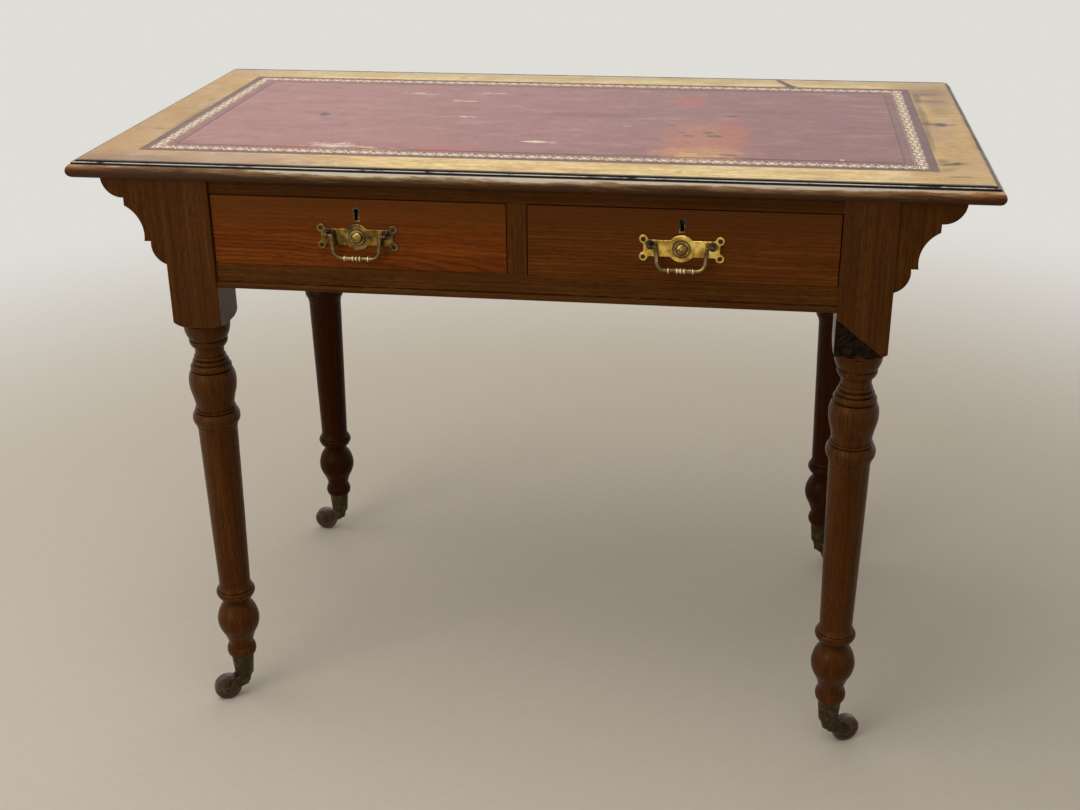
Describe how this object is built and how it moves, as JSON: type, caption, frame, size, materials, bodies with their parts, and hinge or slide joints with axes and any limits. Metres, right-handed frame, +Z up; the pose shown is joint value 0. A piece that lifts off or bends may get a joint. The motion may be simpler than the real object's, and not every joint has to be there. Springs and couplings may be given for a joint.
{
  "type": "writing table",
  "caption": "Oak writing table with a red leather inset, moulded top, brass-handled drawers, shaped end brackets and turned legs on brass castors.",
  "frame": {"origin": "on the floor under the middle of the top", "axes": "+X to the right along the table's length, +Y to the back, +Z up; the drawers face -Y"},
  "size_m": [1.06, 0.5773, 0.75],
  "materials": {
    "faded_oak": "worn, faded polish on oak",
    "red_leather": "dull worn hide with gilt tooling",
    "dark_oak": "dark stained, polished oak",
    "drawer_wood": "reddish stained, polished oak",
    "inner_wood": "plain unpolished softwood",
    "brass": "handled brass, dark in its hollows",
    "dark_brass": "brown patina",
    "steel": "dull old steel",
    "wheel_wood": "brown turned wheel, worn"
  },
  "bodies": {
    "frame": {"table_top": "faded_oak", "leather_inset": "red_leather", "leg_front_left": "dark_oak", "leg_front_right": "dark_oak", "leg_back_left": "dark_oak", "leg_back_right": "dark_oak", "bracket_front_left": "dark_oak", "bracket_front_right": "dark_oak", "bracket_back_left": "dark_oak", "bracket_back_right": "dark_oak", "front_top_rail": "dark_oak", "front_bottom_rail": "dark_oak", "drawer_divider": "dark_oak", "back_rail": "dark_oak", "side_rail_left": "dark_oak", "side_rail_right": "dark_oak", "drawer_runners": "inner_wood", "drawer_guides": "inner_wood", "drawer_kickers": "inner_wood", "drawer_stops": "inner_wood", "top_fixing_screws": "steel", "castor_cup_front_left": "dark_brass", "castor_cup_front_right": "dark_brass", "castor_cup_back_left": "dark_brass", "castor_cup_back_right": "dark_brass"},
    "drawer_left": {"drawer_left_front": "drawer_wood", "drawer_left_side_left": "inner_wood", "drawer_left_side_right": "inner_wood", "drawer_left_back": "inner_wood", "drawer_left_bottom": "inner_wood", "drawer_left_escutcheon": "brass", "drawer_left_lock_case": "steel", "drawer_left_handle_plate": "brass", "drawer_left_handle_boss": "brass", "drawer_left_handle_posts": "brass", "drawer_left_handle_screws": "steel"},
    "bail_left": {"drawer_left_handle_bail": "brass"},
    "lock_bolt_left": {"drawer_left_lock_bolt": "steel"},
    "drawer_right": {"drawer_right_front": "drawer_wood", "drawer_right_side_left": "inner_wood", "drawer_right_side_right": "inner_wood", "drawer_right_back": "inner_wood", "drawer_right_bottom": "inner_wood", "drawer_right_escutcheon": "brass", "drawer_right_lock_case": "steel", "drawer_right_handle_plate": "brass", "drawer_right_handle_boss": "brass", "drawer_right_handle_posts": "brass", "drawer_right_handle_screws": "steel"},
    "bail_right": {"drawer_right_handle_bail": "brass"},
    "lock_bolt_right": {"drawer_right_lock_bolt": "steel"},
    "castor_front_left": {"castor_horn_front_left": "dark_brass"},
    "wheel_front_left": {"castor_wheel_front_left": "wheel_wood"},
    "castor_front_right": {"castor_horn_front_right": "dark_brass"},
    "wheel_front_right": {"castor_wheel_front_right": "wheel_wood"},
    "castor_back_left": {"castor_horn_back_left": "dark_brass"},
    "wheel_back_left": {"castor_wheel_back_left": "wheel_wood"},
    "castor_back_right": {"castor_horn_back_right": "dark_brass"},
    "wheel_back_right": {"castor_wheel_back_right": "wheel_wood"}
  },
  "joints": [
    {"name": "drawer_left_slide", "type": "slide", "parent": "frame", "child": "drawer_left", "axis": [0, -1, 0], "range_m": [0, 0.36]},
    {"name": "bail_left_swing", "type": "hinge", "parent": "drawer_left", "child": "bail_left", "pos_m": [-0.18675, -0.2861, 0.6722], "axis": [-1, 0, 0], "range_deg": [0, 100]},
    {"name": "lock_bolt_left_throw", "type": "slide", "parent": "drawer_left", "child": "lock_bolt_left", "axis": [0, 0, 1], "range_m": [0, 0.007]},
    {"name": "drawer_right_slide", "type": "slide", "parent": "frame", "child": "drawer_right", "axis": [0, -1, 0], "range_m": [0, 0.36]},
    {"name": "bail_right_swing", "type": "hinge", "parent": "drawer_right", "child": "bail_right", "pos_m": [0.18675, -0.2861, 0.6722], "axis": [-1, 0, 0], "range_deg": [0, 100]},
    {"name": "lock_bolt_right_throw", "type": "slide", "parent": "drawer_right", "child": "lock_bolt_right", "axis": [0, 0, 1], "range_m": [0, 0.007]},
    {"name": "castor_front_left_swivel", "type": "hinge", "parent": "frame", "child": "castor_front_left", "pos_m": [-0.392, -0.25, 0.0356], "axis": [0, 0, 1], "continuous": true},
    {"name": "wheel_front_left_roll", "type": "hinge", "parent": "castor_front_left", "child": "wheel_front_left", "pos_m": [-0.41319, -0.26127, 0.018], "axis": [0.4695, -0.8829, 0], "continuous": true},
    {"name": "castor_front_right_swivel", "type": "hinge", "parent": "frame", "child": "castor_front_right", "pos_m": [0.392, -0.25, 0.0356], "axis": [0, 0, 1], "continuous": true},
    {"name": "wheel_front_right_roll", "type": "hinge", "parent": "castor_front_right", "child": "wheel_front_right", "pos_m": [0.41425, -0.24101, 0.018], "axis": [-0.3746, 0.9272, 0], "continuous": true},
    {"name": "castor_back_left_swivel", "type": "hinge", "parent": "frame", "child": "castor_back_left", "pos_m": [-0.392, 0.228, 0.0356], "axis": [0, 0, 1], "continuous": true},
    {"name": "wheel_back_left_roll", "type": "hinge", "parent": "castor_back_left", "child": "wheel_back_left", "pos_m": [-0.416, 0.228, 0.018], "axis": [0, -1, 0], "continuous": true},
    {"name": "castor_back_right_swivel", "type": "hinge", "parent": "frame", "child": "castor_back_right", "pos_m": [0.392, 0.228, 0.0356], "axis": [0, 0, 1], "continuous": true},
    {"name": "wheel_back_right_roll", "type": "hinge", "parent": "castor_back_right", "child": "wheel_back_right", "pos_m": [0.41375, 0.21786, 0.018], "axis": [0.4226, 0.9063, 0], "continuous": true}
  ]
}
